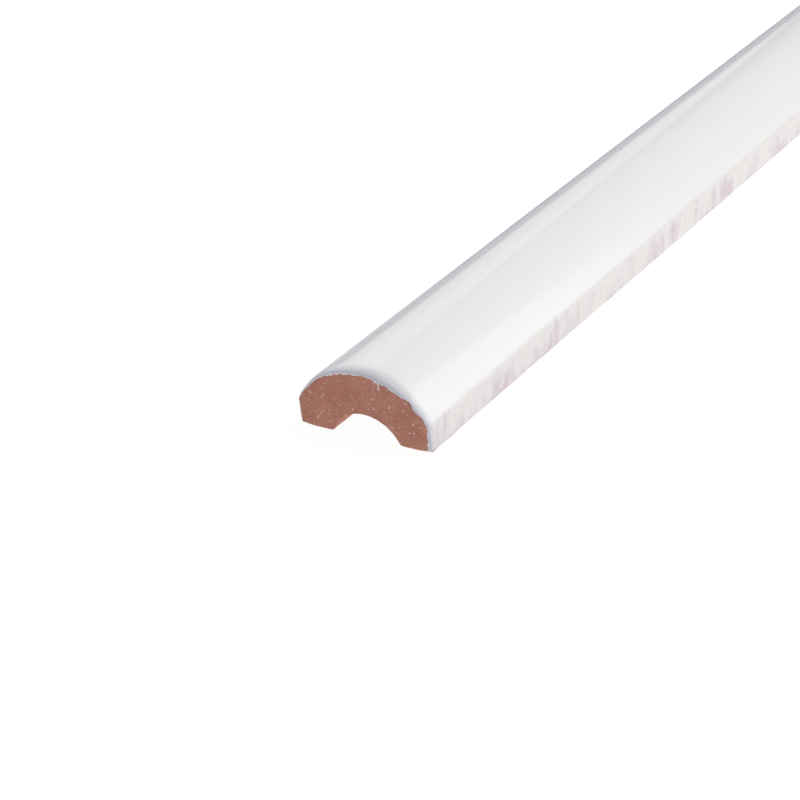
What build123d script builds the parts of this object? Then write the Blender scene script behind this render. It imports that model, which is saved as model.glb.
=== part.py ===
"""Quarter round ceramic tile trim: a domed strip of red clay with a hollow back and a white glaze.

The strip lies on its two feet. X runs across it, Y along its length and Z from the feet to the
crown. The origin is the middle of the strip, on the plane of the feet. All sizes are millimetres.
"""

from build123d import *

import os
from math import sqrt

# Driving dimensions of the fired piece, glaze included
trim_length = 200.0
trim_width = 25.0
trim_height = 12.1
side_height = 4.7  # from the feet up to where the dome springs from the flat side

# Glaze coat
crown_glaze = 0.6  # even thickness over the dome
side_glaze = 0.4  # thinner on the flat sides
bare_margin = 0.15  # clay left bare between the corner of a foot and the glaze
hem_round = 0.25  # the glaze draws in to a round lower edge
spring_round = 0.45  # the glaze softens the corner between side and dome
rim_land = 0.15  # flat glaze left on a cut end, where the sides roll over onto it

# Clay body
foot_width = 6.15  # each foot, from the hollow to the outside of the glaze
groove_depth = 4.15  # the hollow back, midway between the feet
lip_round = 0.5  # worn corner between the hollow and each foot
relief_width = 3.0  # outer part of each foot, which curves up off the bed
relief_rise = 0.3
clay_arris = 0.5  # worn corner around the cut ends, under the glaze

# The dome is one arc over the whole width, and the clay under it is parallel to it
half_width = trim_width / 2
dome_rise = trim_height - side_height
dome_radius = (half_width**2 + dome_rise**2) / (2 * dome_rise)
dome_centre = trim_height - dome_radius
clay_half_width = half_width - side_glaze
clay_crown = trim_height - crown_glaze
clay_radius = dome_radius - crown_glaze
clay_spring = dome_centre + sqrt(clay_radius**2 - clay_half_width**2)

# The hollow is an arc from foot to foot
groove_half_width = half_width - foot_width
groove_radius = (groove_half_width**2 + groove_depth**2) / (2 * groove_depth)
groove_centre = groove_depth - groove_radius

# The glaze hangs down the sides to its hem, and rolls over the worn corner of the clay
hem_height = relief_rise + bare_margin
rim_round = clay_arris + side_glaze - rim_land


def rim_edges(piece):
    """The edges around both cut ends that reach above the hem: the sides and the dome."""
    hem_top = hem_height + hem_round
    ends = piece.faces().filter_by(Axis.Y)
    return ends.edges().filter_by(lambda edge: edge.bounding_box().max.Z > hem_top)


# Clay blank: the extruded body before its back is hollowed
with BuildPart() as clay_blank:
    with BuildSketch(Plane.XZ):
        with BuildLine():
            bed_half = clay_half_width - relief_width
            bed = Line((-bed_half, 0), (bed_half, 0))
            right_foot = (clay_half_width, relief_rise)
            left_foot = (-clay_half_width, relief_rise)
            TangentArc(bed @ 1, right_foot, tangent=(1, 0))
            TangentArc(bed @ 0, left_foot, tangent=(-1, 0))
            right_side = Line(right_foot, (clay_half_width, clay_spring))
            left_side = Line(left_foot, (-clay_half_width, clay_spring))
            ThreePointArc(right_side @ 1, (0, clay_crown), left_side @ 1)
        make_face()
    extrude(amount=trim_length / 2, both=True)
    fillet(rim_edges(clay_blank), clay_arris)

# Clay body: the blank with the hollow run through its back
with BuildPart() as clay_body:
    add(clay_blank.part)
    with BuildSketch(Plane.XZ):
        with Locations((0, groove_centre)):
            Circle(groove_radius)
    extrude(amount=trim_length / 2, both=True, mode=Mode.SUBTRACT)
    bed_faces = faces().filter_by(Axis.Z).group_by(Axis.Z)[0]
    lips = bed_faces.edges().filter_by(Axis.Y).group_by(lambda edge: abs(edge.center().X))[0]
    fillet(lips, lip_round)

# Glaze coat: the outer form of the piece above the hem, less the clay that it covers
with BuildPart() as glaze_coat:
    with BuildSketch(Plane.XZ):
        with BuildLine():
            outline = Polyline(
                (-half_width, side_height),
                (-half_width, hem_height),
                (half_width, hem_height),
                (half_width, side_height),
            )
            ThreePointArc(outline @ 1, (0, trim_height), outline @ 0)
        make_face()
        fillet(vertices().group_by(Axis.Y)[-1], spring_round)
    extrude(amount=trim_length / 2, both=True)
    fillet(rim_edges(glaze_coat), rim_round)
    hem_edges = faces().sort_by(Axis.Z)[0].edges()
    fillet(hem_edges, hem_round)
    add(clay_blank.part, mode=Mode.SUBTRACT)

os.makedirs("parts", exist_ok=True)

clay_body.part.label = "clay_body"
export_step(clay_body.part, "parts/clay_body.step")

glaze_coat.part.label = "glaze_coat"
export_step(glaze_coat.part, "parts/glaze_coat.step")
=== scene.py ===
"""Looks of a quarter round ceramic tile trim: bare red clay under a white glaze, on a pale floor."""

import math

import bmesh
import bpy
import numpy as np
from mathutils import Matrix, Vector


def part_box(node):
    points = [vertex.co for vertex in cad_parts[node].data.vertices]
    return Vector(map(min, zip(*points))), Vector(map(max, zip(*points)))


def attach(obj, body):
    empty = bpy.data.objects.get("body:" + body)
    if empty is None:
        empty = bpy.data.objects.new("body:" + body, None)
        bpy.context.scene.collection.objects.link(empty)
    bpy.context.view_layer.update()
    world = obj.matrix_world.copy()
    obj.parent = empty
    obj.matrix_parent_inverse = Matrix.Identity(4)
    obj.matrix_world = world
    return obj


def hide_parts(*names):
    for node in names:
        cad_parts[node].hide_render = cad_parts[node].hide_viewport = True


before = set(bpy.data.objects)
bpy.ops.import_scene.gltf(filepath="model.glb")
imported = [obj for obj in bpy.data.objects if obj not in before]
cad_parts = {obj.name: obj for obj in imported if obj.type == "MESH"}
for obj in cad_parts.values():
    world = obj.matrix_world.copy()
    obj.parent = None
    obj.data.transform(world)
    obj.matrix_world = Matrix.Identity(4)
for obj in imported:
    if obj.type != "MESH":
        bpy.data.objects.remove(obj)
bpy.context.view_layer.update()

MM = 0.001

# The outside of the strip, in millimetres, from the solids
glaze_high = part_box("glaze_coat")[1] / MM
half_width = glaze_high.x
half_length = glaze_high.y
crown = glaze_high.z

# The section, in millimetres, as the solids have it
side_height = 4.7  # where the dome springs from a flat side
hem_height = 0.45  # lower edge of the glaze on a side
hem_round = 0.25
crown_glaze = 0.6  # thickness over the dome
side_glaze = 0.4
groove_half_width = 6.35
groove_depth = 4.15
relief_width = 3.0  # outer part of a foot, which curves up off the floor
relief_rise = 0.3

dome_rise = crown - side_height
dome_radius = (half_width**2 + dome_rise**2) / (2 * dome_rise)
dome_centre = crown - dome_radius
dome_half_angle = math.asin(half_width / dome_radius)
groove_radius = (groove_half_width**2 + groove_depth**2) / (2 * groove_depth)
groove_centre = groove_depth - groove_radius
bed_half = half_width - side_glaze - relief_width

# The cut ends, in millimetres
lip_stand = 0.08  # the glaze's lip stands this far proud of the cut clay
least_lip = 0.04  # from the roll to the lip's edge, at least
lip_sunk = 0.08  # how much deeper the edge goes where it stops short, on the rounded clay
thin_glaze = 0.07  # glaze left on the clay where it rolls over
thick_from = 3.0  # distance from the end where the glaze has its full thickness
clay_arris = 0.15  # worn corner between the cut end and the back
under_lip = 0.35  # how far the glaze's hidden side lies behind its lip

# The soft roll over an end: place across the section, depth and length in millimetres. Places
# are -2 at the left hem, -1 and 1 where the dome springs, and 2 at the right hem.
roll_shape = [
    (-2.0, 0.05, 0.5), (-1.05, 0.1, 0.5), (-0.9, 0.2, 0.6), (-0.6, 0.45, 1.1), (-0.33, 0.66, 2.1),
    (0.0, 0.9, 3.0), (0.33, 0.85, 2.6), (0.5, 0.85, 2.3), (0.8, 0.8, 2.4), (0.93, 0.65, 1.8),
    (1.0, 0.45, 1.2), (1.3, 0.3, 0.7), (2.0, 0.28, 0.7),
]

# Depth of the glaze's ragged edge on a cut end, as pairs of place and millimetres
near_rim = [
    (-2.0, 0.14), (-1.05, 0.16), (-0.9, 0.28), (-0.78, 0.5), (-0.6, 0.56), (-0.47, 0.72),
    (-0.38, 0.95), (-0.07, 1.17), (0.07, 0.88), (0.17, 0.96), (0.25, 1.25), (0.35, 0.98),
    (0.47, 1.2), (0.58, 0.8), (0.66, 0.48), (0.7, 0.47), (0.73, 0.63), (0.76, 0.84),
    (0.84, 0.61), (0.89, 0.46), (0.94, 0.48), (1.0, 0.66), (1.4, 0.76), (2.0, 1.1),
]
far_rim = [(-2.0, 0.5), (-1.0, 0.5), (-0.5, 0.95), (0.0, 0.8), (0.5, 1.1), (1.0, 0.5), (2.0, 0.45)]
near_seed = 5
far_seed = 11

# The glaze's lower edge, in millimetres: its waves, and two sags on the right near the near end
hem_wave = 0.05
hem_wave_cell = 3.0
sag_place = -94.5
sag_reach = 2.2
sag_depth = 0.15
corner_sag = 0.13
corner_sag_from = 96.0
corner_sag_full = 0.3  # from the end

# Slow swell of the glaze over the dome, in millimetres
swell_height = 0.012
swell_cell = 9.0
swell_room = 0.006  # keeps it inside the outline of the solids

# The fine run of glaze down the near end: its top and foot on the cut face, in millimetres
run_top = (3.66, 11.0)
run_foot = (3.56, 9.3)
run_half_width = 0.18
run_stand = 0.068  # how far it stands proud of the clay
run_sunk = 0.1
run_lean = 0.1  # its top leans back with the roll

# Rounds of easing, which soften a corner of the section
spring_easing = 8  # between side and dome
end_easing = 0.35  # share of it that is left at a cut end, over these distances
end_easing_reach = (1.5, 5.0)
lip_easing = 4  # between the hollow and each foot

# The clay's surface, in millimetres
under_half_length = 13.8  # along the underside from its middle to an outer corner
pit_depth = 0.035  # how far the pitted underside lies inside the solid's
grog_warp = 0.5  # how far its pale spots are bent out of round

# The thin wash on a flat side, in millimetres above the feet
wash_top = 5.5
wash_full = 4.4
wash_ragged = 0.2
stroke_sink = 0.024  # how much fainter a stroke gets with each millimetre up

# Welding the meshes
weld = 0.001
sharp_angle = math.radians(45)

# The surround: a brightness, and the edges that bound it in degrees. "turn" is from the strip's far
# end towards its right, "off" is away from the far end either way, and "height" is above level.
# "line" is a straight edge through two points, each a turn and a height, with the light to one side.
surround_parts = [
    (0.06, []),
    (0.9, [("turn", -95, -110), ("turn", -178, -160), ("height", 10, 18), ("height", 56, 46)]),
    (2.0, [("turn", 40, 46), ("turn", 68, 58), ("height", 20, 28), ("height", 56, 46)]),
    (0.45, [("off", 115, 80), ("height", 0, 13), ("height", 62, 46)]),
    (0.55, [("off", 115, 80), ("height", 12, 40), ("height", 62, 46)]),
    (0.7, [("off", 18, 10), ("height", -4, 0), ("height", 12, 6)]),
    (0.62, [("line", (-29.2, 33), (-30.7, 6)), ("off", 115, 80), ("height", -2, 8), ("height", 62, 46)]),
    (1.2, [("line", (34.5, 18), (21, 42)), ("off", 115, 80), ("height", 0, 12), ("height", 62, 46)]),
]
line_blur = 0.015  # half width of a line's soft edge, as the sine of an angle

# The key light: a direction, and metres and watts
key_direction = (0.36, 0.22, 0.52)
key_distance = 2.5
key_watts = 20.8
key_size = 1.0
key_colour = "#fff9f0"

# The camera, in metres and degrees
camera_place = Vector((0.180223, -0.323213, 0.161273))
camera_turn = 37.7306
camera_tilt = 28.4366
camera_roll = -7.6503
camera_lens = 95.447
camera_sensor = 36.0

# The floor and the backdrop, in metres
floor_half = 3.0
floor_drop = -0.02 * MM
backdrop_radius = 2.0
backdrop_bend = 0.6
backdrop_height = 3.0
near_reach = 0.02  # from the middle of the strip to where the near tone of the table ends


def smooth_step(value, low, high):
    """0 below low, 1 above high, and 3t^2 - 2t^3 between."""
    t = np.clip((value - low) / (high - low), 0, 1)
    return t * t * (3 - 2 * t)


def lattice_noise(a, b, cell, seed):
    """Smooth noise from -1 to 1 over two lengths in millimetres.

    Random heights stand on a square lattice of the given cell, and the four around a point are
    blended by 3t^2 - 2t^3 along each side.
    """
    heights = np.random.default_rng(seed).uniform(-1, 1, (256, 256))
    a, b = np.broadcast_arrays(np.asarray(a) / cell, np.asarray(b) / cell)
    column = np.floor(a).astype(int)
    row = np.floor(b).astype(int)
    s = smooth_step(a - column, 0, 1)
    t = smooth_step(b - row, 0, 1)
    left, right = column % 256, (column + 1) % 256
    low, high = row % 256, (row + 1) % 256
    below = heights[left, low] * (1 - s) + heights[right, low] * s
    above = heights[left, high] * (1 - s) + heights[right, high] * s
    return below * (1 - t) + above * t


def section(across, inset, bottom):
    """Point of the section at a place across it, drawn in from the glaze's outside by the inset.

    The dome is a circle arc whose radius shrinks by the inset. Each side is an upright line that
    moves in by it and runs down to bottom. The two meet where arc and line cross.
    """
    radius = dome_radius - inset
    reach = half_width - inset
    spring = dome_centre + np.sqrt(radius**2 - reach**2)
    angle = np.clip(across, -1, 1) * np.arcsin(reach / radius)
    down = np.clip(np.abs(across) - 1, 0, 1)
    x = radius * np.sin(angle)
    z = dome_centre + radius * np.cos(angle) + (bottom - spring) * down
    return x, z


def arc_place(across):
    """Length along the section from the crown, in millimetres, for a place across it."""
    dome = np.clip(across, -1, 1) * dome_half_angle * dome_radius
    side = np.sign(across) * np.clip(np.abs(across) - 1, 0, 1) * (side_height - hem_height)
    return dome + side


def rim_depth(across, rim):
    """Depth of the glaze's edge on a cut end, without its teeth: the rim's pairs joined."""
    places, depths = np.transpose(rim)
    return np.interp(across, places, depths)


def rim_teeth(across, rim, seed):
    """Depth of the glaze's ragged edge on a cut end: the rim with coarse and fine teeth."""
    depth = rim_depth(across, rim)
    along = arc_place(across)
    coarse = 0.1 * lattice_noise(along, 0.5, 0.6, seed)
    fine = 0.16 * lattice_noise(along, 7.5, 0.24, seed)
    return depth + (coarse + fine) * smooth_step(depth, 0.4, 0.95)


def glaze_thickness(across):
    """Thickness of the glaze at a place across: thinner on the sides, with a short step between."""
    return np.interp(np.abs(across), [0.96, 1.04], [crown_glaze, side_glaze])


def roll_size(across):
    """Depth and length of the soft roll over an end, from the pairs of roll_shape joined."""
    places, depths, lengths = np.transpose(roll_shape)
    return np.interp(across, places, depths), np.interp(across, places, lengths)


def roll_inset(across, from_end):
    """How far the glaze's outside draws in near an end: a quarter of an ellipse."""
    depth, length = roll_size(across)
    left = 1 - np.clip(from_end / length, 0, 1)
    return depth * (1 - np.sqrt(1 - left**2))


def glaze_rows(across, rim, seed):
    """Rows of the glaze's outside from its ragged edge to the middle of the strip.

    Gives the inset, the distance from the end, and how far the hidden side lies in from there
    and on from there. The lip's bead rises from its edge with the fourth root of 1 - u^4, the
    roll is a quarter of an ellipse, and the run goes on to the middle with ever longer steps.
    Where the edge stops short of the cut face, the roll starts part of the way round.
    """
    depth, length = roll_size(across)
    edge = rim_teeth(across, rim, seed)
    short = np.clip(1 - edge / depth, 0, 0.95)
    turned = smooth_step(short, 0, 0.08)
    first_turn = np.arcsin(short)
    start = length * (1 - np.cos(first_turn))
    top = depth * (1 - short)
    edge = np.maximum(edge, top + least_lip + lip_sunk * turned)
    thickness = glaze_thickness(across)
    bead = np.linspace(0, 1, 6)[:-1, None]
    turn = first_turn + (math.pi / 2 - first_turn) * np.linspace(0, 1, 16)[:-1, None]
    run = (np.linspace(0, 1, 48) ** 2)[:, None]
    level = np.ones_like(across)
    from_end = [
        start + lip_stand * (1 - turned) * (1 - (1 - (1 - bead) ** 4) ** 0.25),
        length * (1 - np.cos(turn)),
        length + (half_length - length) * run,
    ]
    inset = [edge + (top - edge) * bead, *(roll_inset(across, rows) for rows in from_end[1:])]
    inward = [0 * bead * level, np.sin(turn) * thickness, thickness + 0 * run]
    onward = [under_lip * bead * level, under_lip * np.cos(turn) * level, 0 * run * level]
    return [np.concatenate(parts) for parts in (inset, from_end, inward, onward)]


def ease_corners(points, share):
    """Each point of the grid drawn by its share towards the mean of its neighbours across.

    The neighbours weigh 1, 4, 6, 4 and 1, and the two columns at each edge stay.
    """
    eased = points.copy()
    eased[:, 2:-2] = (
        points[:, :-4] + 4 * points[:, 1:-3] + 6 * points[:, 2:-2] + 4 * points[:, 3:-1] + points[:, 4:]
    ) / 16
    return points + (eased - points) * np.asarray(share)[..., None]


def glaze_surface(across, inset, y, hem):
    """Points of the glaze: the section at a place across and an inset, down to the hem, at y."""
    x, z = section(across, inset, hem)
    return np.stack(np.broadcast_arrays(x, y, z), -1)


def glaze_grids():
    """Outside and hidden side of the glaze, as two grids from the near lip to the far lip.

    They share the points of both lips, except beside the two springs, where the easing moves the
    outside off the hidden side and leaves a fine slit at each end.
    """
    side = 1 + np.sin(np.linspace(0, math.pi / 2, 22))[1:]
    across = np.concatenate([-side[::-1], np.linspace(-1, 1, 261), side])
    near = glaze_rows(across, near_rim, near_seed)
    far = [rows[::-1] for rows in glaze_rows(across, far_rim, far_seed)]
    inset, from_end, inward, onward = (np.concatenate([a, b[1:]]) for a, b in zip(near, far))
    end = np.where(np.arange(len(inset)) < len(near[0]), -1, 1)[:, None]
    y = end * (half_length - from_end)
    y_hidden = end * (half_length - from_end - onward)

    sag = sag_depth * np.exp(-(((y - sag_place) / sag_reach) ** 2)) * (across > 0)
    corner = corner_sag * smooth_step(-y, corner_sag_from, half_length - corner_sag_full) * (across > 0)
    wave = hem_wave * lattice_noise(y, np.sign(across) * 3.5, hem_wave_cell, 21)
    hem = hem_height + wave - sag - corner
    along = arc_place(across)
    swell = swell_height * lattice_noise(along, y, swell_cell, 22) * smooth_step(from_end, 1.0, 6.0)
    outside = glaze_surface(across, inset + swell_room + 0.5 * swell, y, hem)
    curl = np.clip((hem + hem_round - outside[..., 2]) / hem_round, 0, 1)
    outside[..., 0] -= np.sign(across) * hem_round * (1 - np.sqrt(1 - curl**2))
    hidden = glaze_surface(across, inset + inward, y_hidden, hem)
    hidden[0] = outside[0]
    hidden[-1] = outside[-1]
    near_spring = 1 - smooth_step(np.abs(np.abs(across) - 1), 0.03, 0.08)
    away = smooth_step(from_end, *end_easing_reach)
    near_spring = near_spring * (end_easing + (1 - end_easing) * away)
    for _ in range(spring_easing):
        outside = ease_corners(outside, near_spring)
    return outside, hidden


def clay_bottom(place, reach):
    """Underside of the clay from one outer corner, at place -1, to the other, at place 1.

    The hollow is a circle arc, each foot is flat, and its outer part rises as a parabola to
    the corner at the given reach from the middle. Lengths share the places out evenly.
    """
    hollow_angle = math.asin(groove_half_width / groove_radius)
    lengths = np.array([hollow_angle * groove_radius, bed_half - groove_half_width, relief_width])
    hollow_end, flat_end = (np.cumsum(lengths) / lengths.sum())[:2]
    size = np.abs(place)
    angle = np.clip(size / hollow_end, 0, 1) * hollow_angle
    flat = np.clip((size - hollow_end) / (flat_end - hollow_end), 0, 1)
    rise = np.clip((size - flat_end) / (1 - flat_end), 0, 1)
    x = groove_radius * np.sin(angle)
    x = x + (bed_half - groove_half_width) * flat + (reach - bed_half) * rise
    z = groove_centre + groove_radius * np.cos(angle) + relief_rise * rise**2
    return np.sign(place) * x, z


def clay_rows(from_end, dome_steps, side_steps):
    """Closed rings of the clay at distances from an end, as (x, z) of the top and of the bottom.

    The top follows the glaze's outside at the depth of the glaze, which thins towards the end,
    and the bottom is worn by a quarter circle where it meets the cut end.
    """
    side = np.linspace(1, 2, side_steps + 1)[1:]
    across = np.concatenate([-side[::-1], np.linspace(-1, 1, dome_steps + 1), side])
    thickness = glaze_thickness(across)
    cover = thin_glaze + (thickness - thin_glaze) * smooth_step(from_end, 0, thick_from)
    inset = roll_inset(across, from_end) + cover
    top = np.stack(np.broadcast_arrays(*section(across, inset, relief_rise)), -1)

    place = np.linspace(1, -1, dome_steps + 1)
    reach = np.where(place > 0, top[:, -1:, 0], -top[:, :1, 0])
    bottom = np.stack(np.broadcast_arrays(*clay_bottom(place, reach)), -1)
    for _ in range(lip_easing):
        bottom = ease_corners(bottom, 1)
    slope = np.gradient(bottom, axis=1)
    inward = np.stack([slope[..., 1], -slope[..., 0]], -1)
    inward /= np.linalg.norm(inward, axis=-1, keepdims=True)
    off_corner = smooth_step(1 - np.abs(place), 0, 0.04)
    left = 1 - np.clip((from_end - lip_stand) / clay_arris, 0, 1)
    worn = clay_arris * (1 - np.sqrt(1 - left**2)) * off_corner
    arc = place * under_half_length
    y = half_length - from_end
    pits = pit_depth + 0.02 * lattice_noise(arc, y, 1.3, 31) + 0.012 * lattice_noise(arc, y, 0.45, 32)
    pits = pits * smooth_step(from_end, 0.3, 1.0) * off_corner
    bottom += inward * (worn + pits)[..., None]
    bottom[:, 0] = top[:, -1]
    bottom[:, -1] = top[:, 0]
    return top, bottom


def cut_face(top, bottom, dome_steps, side_steps):
    """Grid over a cut end between the ring's four sides, blended as a Coons patch."""
    left = top[: side_steps + 1]
    dome = top[side_steps : side_steps + dome_steps + 1]
    right = top[side_steps + dome_steps :][::-1]
    under = bottom[::-1]
    u = np.linspace(0, 1, dome_steps + 1)[None, :, None]
    v = np.linspace(0, 1, side_steps + 1)[:, None, None]
    ruled = (1 - v) * under[None] + v * dome[None] + (1 - u) * left[:, None] + u * right[:, None]
    low_corners = (1 - v) * ((1 - u) * under[0] + u * under[-1])
    high_corners = v * ((1 - u) * dome[0] + u * dome[-1])
    return ruled - low_corners - high_corners


def cut_grain(x, z, seed):
    """Relief of a cut end: fine grain, coarse grain and a few torn pits, in millimetres."""
    coarse = lattice_noise(x, z, 0.9, seed)
    fine = lattice_noise(x, z, 0.28, seed + 1)
    pits = smooth_step(lattice_noise(x, z, 0.6, seed + 2), 0.55, 0.9)
    return 0.012 * coarse + 0.014 * fine + 0.05 * pits


def clay_grids(dome_steps=190, side_steps=56):
    """The clay as a tube of rings along the strip, and a grid over each cut end."""
    worn = lip_stand + clay_arris * (1 - np.cos(np.linspace(0, math.pi / 2, 6)))
    near_end = worn[-1] + (thick_from - worn[-1]) * np.linspace(0, 1, 18)[1:] ** 1.4
    middle = np.linspace(thick_from, half_length, 34)[1:]
    from_end = np.concatenate([worn, near_end, middle])[:, None]
    tube, caps = [], []
    for end, seed in ((-1, near_seed), (1, far_seed)):
        top, bottom = clay_rows(from_end, dome_steps, side_steps)
        ring = np.concatenate([top, bottom[:, 1:]], 1)
        grain = cut_grain(ring[..., 0], ring[..., 1], seed) * (1 - smooth_step(from_end, lip_stand, 0.6))
        y = end * (half_length - from_end - grain)
        rings = np.stack([ring[..., 0], y, ring[..., 1]], -1)
        tube.append(rings if end < 0 else rings[::-1][1:])
        face = cut_face(top[0], bottom[0], dome_steps, side_steps)
        depth = half_length - lip_stand - cut_grain(face[..., 0], face[..., 1], seed)
        caps.append(np.stack([face[..., 0], end * depth, face[..., 1]], -1))
    return np.concatenate(tube), caps


def run_grid():
    """The run as a thin spindle down the cut face, ending in a slightly swollen foot.

    Its middle line goes straight from top to foot. Its width follows the fourth root of
    1 - (2t - 1)^8, a little wider towards the foot, and its section is an ellipse half sunk
    in the clay.
    """
    t = np.linspace(0, 1, 33)[:, None]
    turn = np.linspace(0, 2 * math.pi, 17)[None, :]
    size = (1 - (2 * t - 1) ** 8) ** 0.25 * (0.8 + 0.35 * smooth_step(t, 0.6, 0.9))
    bend = 0.04 * np.sin(3 * t)
    x = run_top[0] + (run_foot[0] - run_top[0]) * t + bend + size * run_half_width * np.cos(turn)
    out = np.where(np.sin(turn) > 0, run_stand, run_sunk) * np.sin(turn)
    lean = run_lean * (1 - smooth_step(t, 0, 0.3))
    y = -half_length + lip_stand + lean - size * out
    z = run_top[1] + (run_foot[1] - run_top[1]) * t + 0 * turn
    return np.stack([x, y, z], -1)


def make_piece(name, grids, material, node=None):
    """A piece from grids of points in millimetres.

    Neighbours on a grid are joined by quads, edges that meet are welded, and faces point outwards.
    """
    points, quads, count = [], [], 0
    for grid in grids:
        rows, columns = grid.shape[:2]
        number = count + np.arange(rows * columns).reshape(rows, columns)
        corners = [number[:-1, :-1], number[:-1, 1:], number[1:, 1:], number[1:, :-1]]
        quads.append(np.stack(corners, -1).reshape(-1, 4))
        points.append(grid.reshape(-1, 3))
        count += rows * columns
    mesh = bpy.data.meshes.new(name)
    mesh.from_pydata(np.concatenate(points) * MM, [], np.concatenate(quads).tolist())
    shape = bmesh.new()
    shape.from_mesh(mesh)
    bmesh.ops.remove_doubles(shape, verts=shape.verts, dist=weld * MM)
    bmesh.ops.dissolve_degenerate(shape, edges=shape.edges, dist=weld * MM)
    bmesh.ops.recalc_face_normals(shape, faces=shape.faces)
    shape.to_mesh(mesh)
    shape.free()
    mesh.shade_smooth()
    mesh.set_sharp_from_angle(angle=sharp_angle)
    mesh.materials.append(material)
    piece = bpy.data.objects.new(name, mesh)
    bpy.context.scene.collection.objects.link(piece)
    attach(piece, "root")
    if node:
        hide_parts(node)
    return piece


def linear(colour):
    """An sRGB hex colour as the linear red, green, blue and alpha that shaders take."""
    srgb = np.array([int(colour[i : i + 2], 16) for i in (1, 3, 5)]) / 255
    rgb = np.where(srgb <= 0.04045, srgb / 12.92, ((srgb + 0.055) / 1.055) ** 2.4)
    return (*rgb.tolist(), 1.0)


def add_node(tree, kind, links, **settings):
    """Adds a node. links gives each input, by name or number, a value or another node's output."""
    added = tree.nodes.new(kind)
    for name, value in settings.items():
        setattr(added, name, value)
    for name, value in links.items():
        if isinstance(value, bpy.types.NodeSocket):
            tree.links.new(value, added.inputs[name])
        else:
            added.inputs[name].default_value = value
    return added


def new_material(name):
    """An empty node material and its tree."""
    material = bpy.data.materials.new(name)
    material.use_nodes = True
    material.node_tree.nodes.clear()
    return material, material.node_tree


def per_metre(size):
    """Texture scale for a pattern whose cells have this size in millimetres."""
    return 1 / (size * MM)


# Inputs and output of a colour Mix node, which has several of the same name
FACTOR, FIRST, SECOND, MIXED = 0, 6, 7, 2


def terracotta():
    """Fired red terracotta, pressed and sawn: dry, matt and softly mottled, with pale grog and small
    pits that the eye takes for coarse earthenware."""
    material, tree = new_material("fired_terracotta")
    place = add_node(tree, "ShaderNodeTexCoord", {}).outputs["Object"]
    cloud = add_node(
        tree, "ShaderNodeTexNoise", {"Vector": place, "Scale": per_metre(2.2), "Detail": 3.0}
    )
    grain = add_node(
        tree,
        "ShaderNodeTexNoise",
        {"Vector": place, "Scale": per_metre(0.3), "Detail": 4.0, "Roughness": 0.6},
    )
    cloud_share = add_node(
        tree, "ShaderNodeMapRange", {"Value": cloud.outputs["Fac"], "From Min": 0.35, "From Max": 0.65}
    )
    body = add_node(
        tree,
        "ShaderNodeMix",
        {FACTOR: cloud_share.outputs["Result"], FIRST: linear("#d09480"), SECOND: linear("#c28572")},
        data_type="RGBA",
    )
    grain_share = add_node(
        tree,
        "ShaderNodeMapRange",
        {"Value": grain.outputs["Fac"], "From Min": 0.4, "From Max": 0.62, "To Max": 0.65},
    )
    grained = add_node(
        tree,
        "ShaderNodeMix",
        {FACTOR: grain_share.outputs["Result"], FIRST: body.outputs[MIXED], SECOND: linear("#ae7060")},
        data_type="RGBA",
    )
    warped = add_node(
        tree,
        "ShaderNodeVectorMath",
        {0: grain.outputs["Color"], 1: (grog_warp * MM,) * 3, 2: place},
        operation="MULTIPLY_ADD",
    )
    colour = grained.outputs[MIXED]
    shares = []
    for cell, most, tone, strength in (
        (0.8, 0.36, "#f0dacb", 0.75),
        (0.36, 0.46, "#ecd0c2", 0.6),
        (0.5, 0.32, "#93594a", 0.5),
    ):
        spot = add_node(
            tree,
            "ShaderNodeTexVoronoi",
            {"Vector": warped.outputs["Vector"], "Scale": per_metre(cell), "Randomness": 1.0},
        )
        chance = add_node(tree, "ShaderNodeSeparateColor", {"Color": spot.outputs["Color"]})
        size = add_node(
            tree,
            "ShaderNodeMapRange",
            {"Value": chance.outputs["Red"], "From Min": 0.4, "To Min": 0.01, "To Max": most},
        )
        inner = add_node(
            tree, "ShaderNodeMath", {0: size.outputs["Result"], 1: 0.5}, operation="MULTIPLY"
        )
        share = add_node(
            tree,
            "ShaderNodeMapRange",
            {
                "Value": spot.outputs["Distance"],
                "From Min": size.outputs["Result"],
                "From Max": inner.outputs["Value"],
                "To Max": strength,
            },
        )
        spotted = add_node(
            tree,
            "ShaderNodeMix",
            {FACTOR: share.outputs["Result"], FIRST: colour, SECOND: linear(tone)},
            data_type="RGBA",
        )
        colour = spotted.outputs[MIXED]
        shares.append(share.outputs["Result"])
    height = add_node(
        tree, "ShaderNodeMath", {0: grain.outputs["Fac"], 1: shares[2]}, operation="SUBTRACT"
    )
    bump = add_node(
        tree,
        "ShaderNodeBump",
        {"Height": height.outputs["Value"], "Strength": 0.5, "Distance": 0.05 * MM},
    )
    surface = add_node(
        tree,
        "ShaderNodeBsdfPrincipled",
        {
            "Base Color": colour,
            "Roughness": 0.92,
            "IOR": 1.5,
            "Specular IOR Level": 0.3,
            "Normal": bump.outputs["Normal"],
        },
    )
    add_node(tree, "ShaderNodeOutputMaterial", {"Surface": surface.outputs["BSDF"]})
    return material


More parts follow.
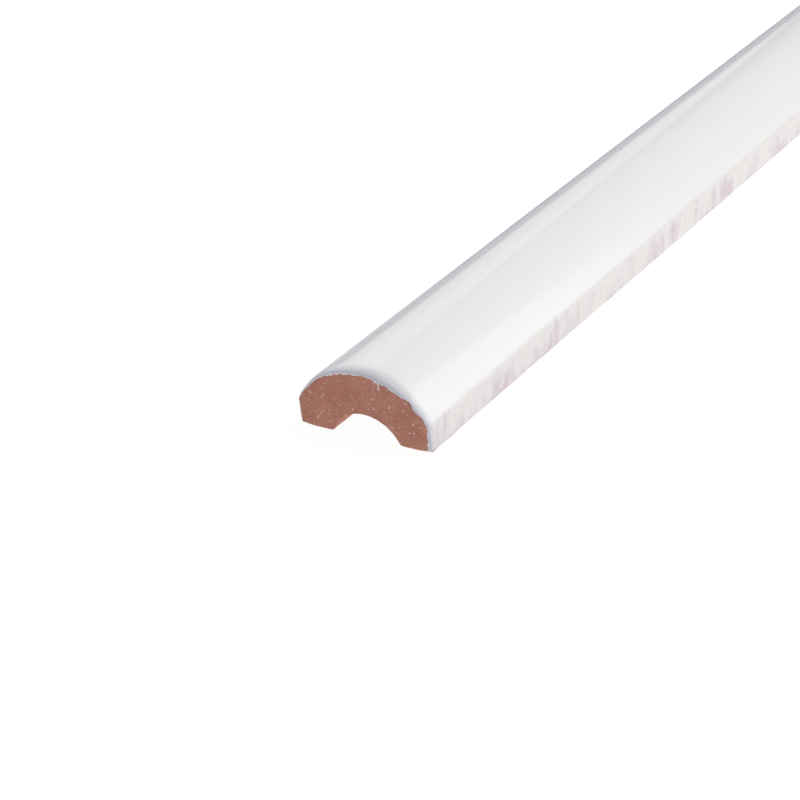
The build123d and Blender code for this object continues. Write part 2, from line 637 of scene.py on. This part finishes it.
def white_glaze():
    """Opaque white tin glaze, fired glossy, which gives the eye its wet, glassy shine. On the flat
    sides it is a thin, wiped wash that the red clay shows through, in slanting strokes and along the
    lower edge."""
    material, tree = new_material("opaque_white_glaze")
    place = add_node(tree, "ShaderNodeTexCoord", {}).outputs["Object"]
    apart = add_node(tree, "ShaderNodeSeparateXYZ", {"Vector": place})
    along = add_node(tree, "ShaderNodeMath", {0: apart.outputs["Y"]}, operation="ABSOLUTE")
    from_end = add_node(
        tree, "ShaderNodeMath", {0: half_length * MM, 1: along.outputs["Value"]}, operation="SUBTRACT"
    )
    # Painted shade: over the last 1.8 mm before each cut end, fullest at 0.2 mm, the thick glaze turns
    # from #eeece9 to a darker blue-grey #e0dfe5 that stands in for the shade on the roll
    lip_shade_share = add_node(
        tree,
        "ShaderNodeMapRange",
        {"Value": from_end.outputs["Value"], "From Min": 1.8 * MM, "From Max": 0.2 * MM},
        interpolation_type="SMOOTHSTEP",
    )
    glaze_with_lip_shade = add_node(
        tree,
        "ShaderNodeMix",
        {FACTOR: lip_shade_share.outputs["Result"], FIRST: linear("#eeece9"), SECOND: linear("#e0dfe5")},
        data_type="RGBA",
    )
    off_lip = add_node(
        tree,
        "ShaderNodeMapRange",
        {"Value": from_end.outputs["Value"], "From Min": 0.15 * MM, "From Max": 0.6 * MM},
        interpolation_type="SMOOTHSTEP",
    )
    ragged = add_node(
        tree,
        "ShaderNodeTexNoise",
        {"Vector": place, "Scale": per_metre(1.6), "Detail": 4.0, "Roughness": 0.6},
    )
    ragged_height = add_node(
        tree,
        "ShaderNodeMapRange",
        {
            "Value": ragged.outputs["Fac"],
            "From Min": 0.3,
            "From Max": 0.7,
            "To Min": -wash_ragged * MM,
            "To Max": wash_ragged * MM,
        },
    )
    height = add_node(
        tree,
        "ShaderNodeMath",
        {0: apart.outputs["Z"], 1: ragged_height.outputs["Result"]},
        operation="ADD",
    )
    wash = add_node(
        tree,
        "ShaderNodeMapRange",
        {
            "Value": height.outputs["Value"],
            "From Min": wash_top * MM,
            "From Max": wash_full * MM,
            "To Max": off_lip.outputs["Result"],
        },
        interpolation_type="SMOOTHSTEP",
    )

    slant = add_node(
        tree, "ShaderNodeMapping", {"Vector": place, "Rotation": (math.radians(20), 0.0, 0.0)}
    )
    stretched = add_node(
        tree, "ShaderNodeMapping", {"Vector": slant.outputs["Vector"], "Scale": (0.3, 1.0, 0.4)}
    )
    stroke = add_node(
        tree,
        "ShaderNodeTexNoise",
        {
            "Vector": stretched.outputs["Vector"],
            "Scale": per_metre(2.5),
            "Detail": 3.0,
            "Roughness": 0.55,
        },
    )
    sunk = add_node(
        tree,
        "ShaderNodeMath",
        {0: apart.outputs["Z"], 1: -stroke_sink / MM, 2: stroke.outputs["Fac"]},
        operation="MULTIPLY_ADD",
    )
    stroke_share = add_node(
        tree,
        "ShaderNodeMapRange",
        {"Value": sunk.outputs["Value"], "From Min": 0.4, "From Max": 0.58, "To Max": 0.85},
        interpolation_type="SMOOTHSTEP",
    )
    patch = add_node(
        tree, "ShaderNodeTexNoise", {"Vector": place, "Scale": per_metre(9.0), "Detail": 1.0}
    )
    patch_share = add_node(
        tree,
        "ShaderNodeMapRange",
        {"Value": patch.outputs["Fac"], "From Min": 0.42, "From Max": 0.58, "To Min": 0.45},
    )
    reddish = add_node(
        tree,
        "ShaderNodeMath",
        {0: stroke_share.outputs["Result"], 1: patch_share.outputs["Result"]},
        operation="MULTIPLY",
    )
    pale_share = add_node(
        tree,
        "ShaderNodeMapRange",
        {"Value": stroke.outputs["Fac"], "From Min": 0.46, "From Max": 0.32, "To Max": 0.6},
        interpolation_type="SMOOTHSTEP",
    )
    streaked = add_node(
        tree,
        "ShaderNodeMix",
        {FACTOR: pale_share.outputs["Result"], FIRST: linear("#dfdad8"), SECOND: linear("#e0dbd2")},
        data_type="RGBA",
    )
    speck = add_node(
        tree,
        "ShaderNodeTexNoise",
        {"Vector": place, "Scale": per_metre(0.55), "Detail": 3.0, "Roughness": 0.6},
    )
    speck_share = add_node(
        tree,
        "ShaderNodeMapRange",
        {"Value": speck.outputs["Fac"], "From Min": 0.5, "From Max": 0.7, "To Max": 0.4},
        interpolation_type="SMOOTHSTEP",
    )
    mottled = add_node(
        tree,
        "ShaderNodeMix",
        {
            FACTOR: speck_share.outputs["Result"],
            FIRST: streaked.outputs[MIXED],
            SECOND: linear("#cbc1bc"),
        },
        data_type="RGBA",
    )
    wiped = add_node(
        tree,
        "ShaderNodeMix",
        {FACTOR: reddish.outputs["Value"], FIRST: mottled.outputs[MIXED], SECOND: linear("#cdbbbf")},
        data_type="RGBA",
    )
    hem_share = add_node(
        tree,
        "ShaderNodeMapRange",
        {
            "Value": apart.outputs["Z"],
            "From Min": (hem_height + 0.35) * MM,
            "From Max": (hem_height - 0.05) * MM,
            "To Max": 0.85,
        },
        interpolation_type="SMOOTHSTEP",
    )
    hemmed = add_node(
        tree,
        "ShaderNodeMix",
        {FACTOR: hem_share.outputs["Result"], FIRST: wiped.outputs[MIXED], SECOND: linear("#a98a84")},
        data_type="RGBA",
    )
    colour = add_node(
        tree,
        "ShaderNodeMix",
        {FACTOR: wash.outputs["Result"], FIRST: glaze_with_lip_shade.outputs[MIXED], SECOND: hemmed.outputs[MIXED]},
        data_type="RGBA",
    )
    roughness = add_node(
        tree, "ShaderNodeMapRange", {"Value": wash.outputs["Result"], "To Min": 0.11, "To Max": 0.32}
    )

    brushed = add_node(
        tree,
        "ShaderNodeMath",
        {0: stroke.outputs["Fac"], 1: wash.outputs["Result"]},
        operation="MULTIPLY",
    )
    bump = add_node(
        tree,
        "ShaderNodeBump",
        {"Height": brushed.outputs["Value"], "Strength": 0.5, "Distance": 0.12 * MM},
    )
    surface = add_node(
        tree,
        "ShaderNodeBsdfPrincipled",
        {
            "Base Color": colour.outputs[MIXED],
            "Roughness": roughness.outputs["Result"],
            "IOR": 1.5,
            "Normal": bump.outputs["Normal"],
        },
    )
    add_node(tree, "ShaderNodeOutputMaterial", {"Surface": surface.outputs["BSDF"]})
    return material


def thin_run_glaze():
    """The same glaze in a fine run on the cut clay, thin enough that the clay warms it in clouds."""
    material, tree = new_material("thin_cream_glaze")
    place = add_node(tree, "ShaderNodeTexCoord", {}).outputs["Object"]
    cloud = add_node(
        tree, "ShaderNodeTexNoise", {"Vector": place, "Scale": per_metre(0.5), "Detail": 3.0}
    )
    cloud_share = add_node(
        tree, "ShaderNodeMapRange", {"Value": cloud.outputs["Fac"], "From Min": 0.35, "From Max": 0.65}
    )
    colour = add_node(
        tree,
        "ShaderNodeMix",
        {FACTOR: cloud_share.outputs["Result"], FIRST: linear("#e9dfd2"), SECOND: linear("#dccabc")},
        data_type="RGBA",
    )
    surface = add_node(
        tree,
        "ShaderNodeBsdfPrincipled",
        {"Base Color": colour.outputs[MIXED], "Roughness": 0.25, "IOR": 1.5},
    )
    add_node(tree, "ShaderNodeOutputMaterial", {"Surface": surface.outputs["BSDF"]})
    return material


def direction(turn, height):
    """Unit vector at a turn from the strip's far end towards its right, and a height above level."""
    turn, height = math.radians(turn), math.radians(height)
    return math.sin(turn) * math.cos(height), math.cos(turn) * math.cos(height), math.sin(height)


def studio_sky():
    """Soft studio surround. Its brightness goes by direction: a pale wall behind the strip that
    brightens with height and towards both sides, where it ends in straight edges, a low patch beyond
    the far end, a bright panel to the right, one behind the camera to the left, and dim elsewhere."""
    world = bpy.data.worlds.new("studio_surround")
    bpy.context.scene.world = world
    world.use_nodes = True
    tree = world.node_tree
    tree.nodes.clear()
    way = add_node(tree, "ShaderNodeTexCoord", {}).outputs["Generated"]
    apart = add_node(tree, "ShaderNodeSeparateXYZ", {"Vector": way})
    x, y, z = (apart.outputs[axis] for axis in "XYZ")
    turn = add_node(tree, "ShaderNodeMath", {0: x, 1: y}, operation="ARCTAN2").outputs["Value"]
    off = add_node(tree, "ShaderNodeMath", {0: turn}, operation="ABSOLUTE").outputs["Value"]

    total = None
    for level, edges in surround_parts:
        share = level
        for kind, start, stop in edges:
            if kind == "line":
                start, stop = (Vector(direction(*end)) for end in (start, stop))
                beside = add_node(
                    tree,
                    "ShaderNodeVectorMath",
                    {0: way, 1: start.cross(stop).normalized()},
                    operation="DOT_PRODUCT",
                )
                value, low, high = beside.outputs["Value"], -line_blur, line_blur
            elif kind == "height":
                value, low, high = z, math.sin(math.radians(start)), math.sin(math.radians(stop))
            else:
                value = off if kind == "off" else turn
                low, high = math.radians(start), math.radians(stop)
            edge = add_node(
                tree,
                "ShaderNodeMapRange",
                {"Value": value, "From Min": low, "From Max": high},
                interpolation_type="SMOOTHSTEP",
            )
            share = add_node(
                tree, "ShaderNodeMath", {0: edge.outputs["Result"], 1: share}, operation="MULTIPLY"
            ).outputs["Value"]
        if total is None:
            total = share
        else:
            both = add_node(tree, "ShaderNodeMath", {0: total, 1: share}, operation="ADD")
            total = both.outputs["Value"]
    light = add_node(tree, "ShaderNodeBackground", {"Color": linear("#f2f7fd"), "Strength": total})
    add_node(tree, "ShaderNodeOutputWorld", {"Surface": light.outputs["Background"]})


def floor_paint(name, left, right, near, glow):
    """Matt paint with a glow: a tone left of the strip, one right of it, and one before its near end."""
    material, tree = new_material(name)
    place = add_node(tree, "ShaderNodeTexCoord", {}).outputs["Object"]
    apart = add_node(tree, "ShaderNodeSeparateXYZ", {"Vector": place})
    side = add_node(
        tree,
        "ShaderNodeMapRange",
        {"Value": apart.outputs["X"], "From Min": -half_width * MM, "From Max": half_width * MM},
    )
    across = add_node(
        tree,
        "ShaderNodeMix",
        {FACTOR: side.outputs["Result"], FIRST: linear(left), SECOND: linear(right)},
        data_type="RGBA",
    )
    along = add_node(
        tree,
        "ShaderNodeMapRange",
        {"Value": apart.outputs["Y"], "From Min": -half_length * MM, "From Max": -near_reach},
    )
    colour = add_node(
        tree,
        "ShaderNodeMix",
        {FACTOR: along.outputs["Result"], FIRST: linear(near), SECOND: across.outputs[MIXED]},
        data_type="RGBA",
    )
    surface = add_node(
        tree,
        "ShaderNodeBsdfPrincipled",
        {
            "Base Color": colour.outputs[MIXED],
            "Roughness": 0.9,
            "Emission Color": linear("#ffffff"),
            "Emission Strength": glow,
        },
    )
    add_node(tree, "ShaderNodeOutputMaterial", {"Surface": surface.outputs["BSDF"]})
    return material


def floor_grid():
    """A level square, from one corner to the other."""
    side = np.array([-floor_half, floor_half])
    x, y = np.meshgrid(side, side)
    return np.stack([x, y, np.full_like(x, floor_drop)], -1)


def backdrop_grid():
    """A sweep around the floor: a quarter circle turned about the strip, and a wall above it."""
    bend = np.linspace(0, math.pi / 2, 12)
    radius = np.append(backdrop_radius + backdrop_bend * np.sin(bend), backdrop_radius + backdrop_bend)
    height = np.append(backdrop_bend * (1 - np.cos(bend)), backdrop_height)
    around = np.linspace(0, 2 * math.pi, 65)[:, None]
    return np.stack(np.broadcast_arrays(radius * np.cos(around), radius * np.sin(around), height), -1)


def add_stage(name, grid, material, seen, lights, reflected):
    """A floor or backdrop from a grid of points in metres, with the kinds of ray that meet it."""
    rows, columns = grid.shape[:2]
    number = np.arange(rows * columns).reshape(rows, columns)
    corners = [number[:-1, :-1], number[:-1, 1:], number[1:, 1:], number[1:, :-1]]
    mesh = bpy.data.meshes.new(name)
    mesh.from_pydata(grid.reshape(-1, 3), [], np.stack(corners, -1).reshape(-1, 4).tolist())
    mesh.materials.append(material)
    stage = bpy.data.objects.new(name, mesh)
    bpy.context.scene.collection.objects.link(stage)
    stage.visible_camera = seen
    stage.visible_diffuse = lights
    stage.visible_glossy = reflected
    stage.visible_shadow = False


def add_key_light():
    """Square softbox to the right of the strip and above it, aimed at its middle."""
    lamp = bpy.data.lights.new("key_softbox", "AREA")
    lamp.energy = key_watts
    lamp.size = key_size
    lamp.color = linear(key_colour)[:3]
    light = bpy.data.objects.new("key_softbox", lamp)
    bpy.context.scene.collection.objects.link(light)
    light.visible_glossy = False
    light.location = Vector(key_direction).normalized() * key_distance
    light.rotation_euler = Vector(key_direction).to_track_quat("Z", "Y").to_euler()


def add_camera():
    """Camera at the photograph's place: turned, tilted and rolled, with axes right, up and back."""
    turned, tilted, rolled = (math.radians(angle) for angle in (camera_turn, camera_tilt, camera_roll))
    level = Vector((math.cos(turned), math.sin(turned), 0))
    back = Vector(
        (math.sin(turned) * math.cos(tilted), -math.cos(turned) * math.cos(tilted), math.sin(tilted))
    )
    raised = back.cross(level)
    right = math.cos(rolled) * level + math.sin(rolled) * raised
    up = math.cos(rolled) * raised - math.sin(rolled) * level
    data = bpy.data.cameras.new("photo_camera")
    data.sensor_width = camera_sensor
    data.lens = camera_lens
    data.clip_start = 0.01
    camera = bpy.data.objects.new("photo_camera", data)
    axes = Matrix((right, up, back)).transposed().to_4x4()
    camera.matrix_world = Matrix.Translation(camera_place) @ axes
    bpy.context.scene.collection.objects.link(camera)
    bpy.context.scene.camera = camera


red_clay = terracotta()
glaze = white_glaze()

outside, hidden = glaze_grids()
shell = np.concatenate([outside, hidden[:, ::-1], outside[:, :1]], 1)
make_piece("glaze_shell", [shell], glaze, "glaze_coat")
tube, caps = clay_grids()
make_piece("clay_strip", [tube, *caps], red_clay, "clay_body")
make_piece("glaze_run", [run_grid()], thin_run_glaze())

studio_sky()
add_key_light()
# The camera sees a white floor and backdrop. The glaze mirrors a table of three tones in their place.
white_paint = floor_paint("white_floor_paint", "#3f3f3f", "#3f3f3f", "#3f3f3f", 0.95)
table_paint = floor_paint("table_paint", "#888b98", "#f0f0f2", "#c4c5cb", 0.0)
add_stage("white_floor", floor_grid(), white_paint, seen=True, lights=True, reflected=False)
add_stage("white_backdrop", backdrop_grid(), white_paint, seen=True, lights=False, reflected=False)
add_stage("reflected_table", floor_grid(), table_paint, seen=False, lights=False, reflected=True)
add_camera()
bpy.context.scene.view_settings.view_transform = "Standard"
